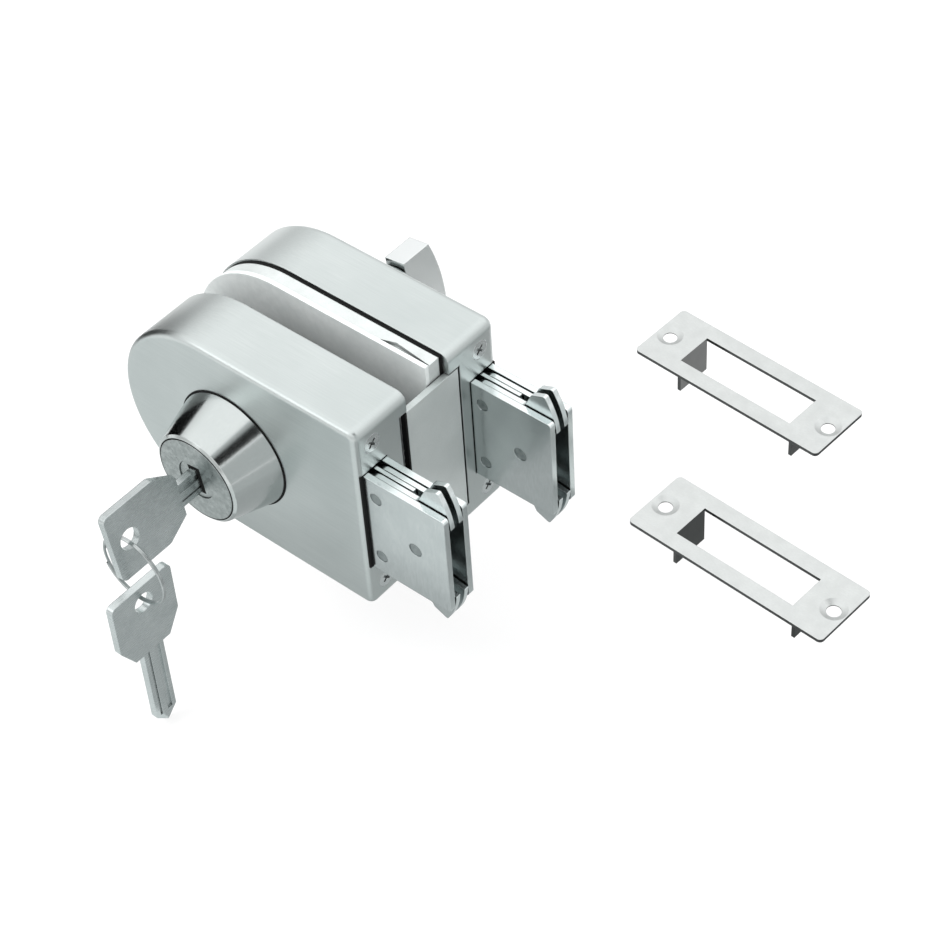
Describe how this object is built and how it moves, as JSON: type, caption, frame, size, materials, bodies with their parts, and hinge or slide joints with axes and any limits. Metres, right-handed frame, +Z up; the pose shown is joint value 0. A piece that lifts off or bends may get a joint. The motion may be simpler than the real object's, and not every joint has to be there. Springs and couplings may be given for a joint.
{
  "type": "glass door lock",
  "caption": "Double-sided claw-bolt lock for a sliding glass door, with key cylinder, thumb turn, keys on a ring and strike plates.",
  "frame": {"origin": "where the middle plane of the glass meets the end face of the lock, at mid height", "axes": "+X out of the end face, the way the bolts shoot; +Y from the key side through the glass to the thumb-turn side; +Z up"},
  "size_m": [0.204, 0.2094, 0.1154],
  "materials": {
    "satin_steel_casing": "satin brushed",
    "polished_rosette": "fine turned satin",
    "bare_steel_plate": "plain rolled",
    "bolt_steel": "zinc plated, smooth",
    "screw_steel": "bright",
    "plug_brass": "nickel plated brass",
    "key_metal": "nickel plated brass",
    "ring_wire": "bright",
    "spacer_grey": "plain cast",
    "black_rubber": "matt",
    "strike_steel": "satin"
  },
  "bodies": {
    "lock_case": {"front_cover": "satin_steel_casing", "rear_cover": "satin_steel_casing", "front_base_plate": "bare_steel_plate", "rear_base_plate": "bare_steel_plate", "rear_clamp_plate": "bare_steel_plate", "rear_spacer": "spacer_grey", "rear_rim_seal": "black_rubber", "front_glass_gasket": "black_rubber", "rear_glass_gasket": "black_rubber", "front_end_screws": "screw_steel", "rear_end_screws": "screw_steel", "front_guide_pins": "bolt_steel", "rear_guide_pins": "bolt_steel", "clamp_screws": "screw_steel", "front_rosette": "polished_rosette", "rear_rosette": "polished_rosette", "cylinder_body": "plug_brass", "cylinder_nut": "bolt_steel", "upper_strike_plate": "strike_steel", "lower_strike_plate": "strike_steel"},
    "spindle_assembly": {"spindle": "bolt_steel", "spindle_clip": "bolt_steel", "cylinder_plug": "plug_brass", "front_pinion": "bolt_steel", "rear_pinion": "bolt_steel", "thumb_turn": "polished_rosette"},
    "front_bolt": {"front_outer_cheek": "bolt_steel", "front_inner_cheek": "bolt_steel", "front_bolt_rivets": "bolt_steel"},
    "front_driver": {"front_driver_tongue": "bolt_steel", "front_drive_pin": "bolt_steel", "front_driver_studs": "bolt_steel", "front_rack": "bolt_steel"},
    "front_claw_up": {"front_upper_claw": "bolt_steel"},
    "front_claw_down": {"front_lower_claw": "bolt_steel"},
    "rear_bolt": {"rear_outer_cheek": "bolt_steel", "rear_inner_cheek": "bolt_steel", "rear_bolt_rivets": "bolt_steel"},
    "rear_driver": {"rear_driver_tongue": "bolt_steel", "rear_drive_pin": "bolt_steel", "rear_driver_studs": "bolt_steel", "rear_rack": "bolt_steel"},
    "rear_claw_up": {"rear_upper_claw": "bolt_steel"},
    "rear_claw_down": {"rear_lower_claw": "bolt_steel"},
    "first_key": {"first_key": "key_metal"},
    "key_ring": {"key_ring": "ring_wire"},
    "second_key": {"second_key": "key_metal"}
  },
  "joints": [
    {"name": "spindle_turn", "type": "hinge", "parent": "lock_case", "child": "spindle_assembly", "pos_m": [-0.05, 0, 0], "axis": [0, -1, 0], "range_deg": [0, 180]},
    {"name": "front_driver_slide", "type": "slide", "parent": "lock_case", "child": "front_driver", "axis": [-1, 0, 0], "range_m": [0, 0.03535]},
    {"name": "front_bolt_slide", "type": "slide", "parent": "lock_case", "child": "front_bolt", "axis": [-1, 0, 0], "range_m": [0, 0.02974]},
    {"name": "front_claw_up_fold", "type": "hinge", "parent": "front_bolt", "child": "front_claw_up", "pos_m": [0.004, 0, 0.0117], "axis": [0, 1, 0], "range_deg": [0, 27.01]},
    {"name": "front_claw_down_fold", "type": "hinge", "parent": "front_bolt", "child": "front_claw_down", "pos_m": [0.004, 0, -0.0117], "axis": [0, -1, 0], "range_deg": [0, 27.01]},
    {"name": "rear_driver_slide", "type": "slide", "parent": "lock_case", "child": "rear_driver", "axis": [-1, 0, 0], "range_m": [0, 0.03535]},
    {"name": "rear_bolt_slide", "type": "slide", "parent": "lock_case", "child": "rear_bolt", "axis": [-1, 0, 0], "range_m": [0, 0.02974]},
    {"name": "rear_claw_up_fold", "type": "hinge", "parent": "rear_bolt", "child": "rear_claw_up", "pos_m": [0.004, 0, 0.0117], "axis": [0, 1, 0], "range_deg": [0, 27.01]},
    {"name": "rear_claw_down_fold", "type": "hinge", "parent": "rear_bolt", "child": "rear_claw_down", "pos_m": [0.004, 0, -0.0117], "axis": [0, -1, 0], "range_deg": [0, 27.01]},
    {"name": "first_key_slide", "type": "slide", "parent": "spindle_assembly", "child": "first_key", "axis": [0, -1, 0], "range_m": [0, 0.026]},
    {"name": "key_ring_swing", "type": "hinge", "parent": "first_key", "child": "key_ring", "pos_m": [-0.05, -0.0701, -0.0022], "axis": [1, 0, 0], "range_deg": [-25, 25]},
    {"name": "second_key_swing", "type": "hinge", "parent": "key_ring", "child": "second_key", "pos_m": [-0.05, -0.0701, -0.0248], "axis": [1, 0, 0], "range_deg": [-25, 25]}
  ],
  "couplings": [
    {"joint": "front_driver_slide", "follows": "spindle_turn", "m_per_rad": 0.01125},
    {"joint": "front_bolt_slide", "follows": "spindle_turn", "m_per_rad": 0.0094618},
    {"joint": "front_claw_up_fold", "follows": "spindle_turn", "ratio": 0.15},
    {"joint": "front_claw_down_fold", "follows": "spindle_turn", "ratio": 0.15},
    {"joint": "rear_driver_slide", "follows": "spindle_turn", "m_per_rad": 0.01125},
    {"joint": "rear_bolt_slide", "follows": "spindle_turn", "m_per_rad": 0.0094618},
    {"joint": "rear_claw_up_fold", "follows": "spindle_turn", "ratio": 0.15},
    {"joint": "rear_claw_down_fold", "follows": "spindle_turn", "ratio": 0.15}
  ]
}
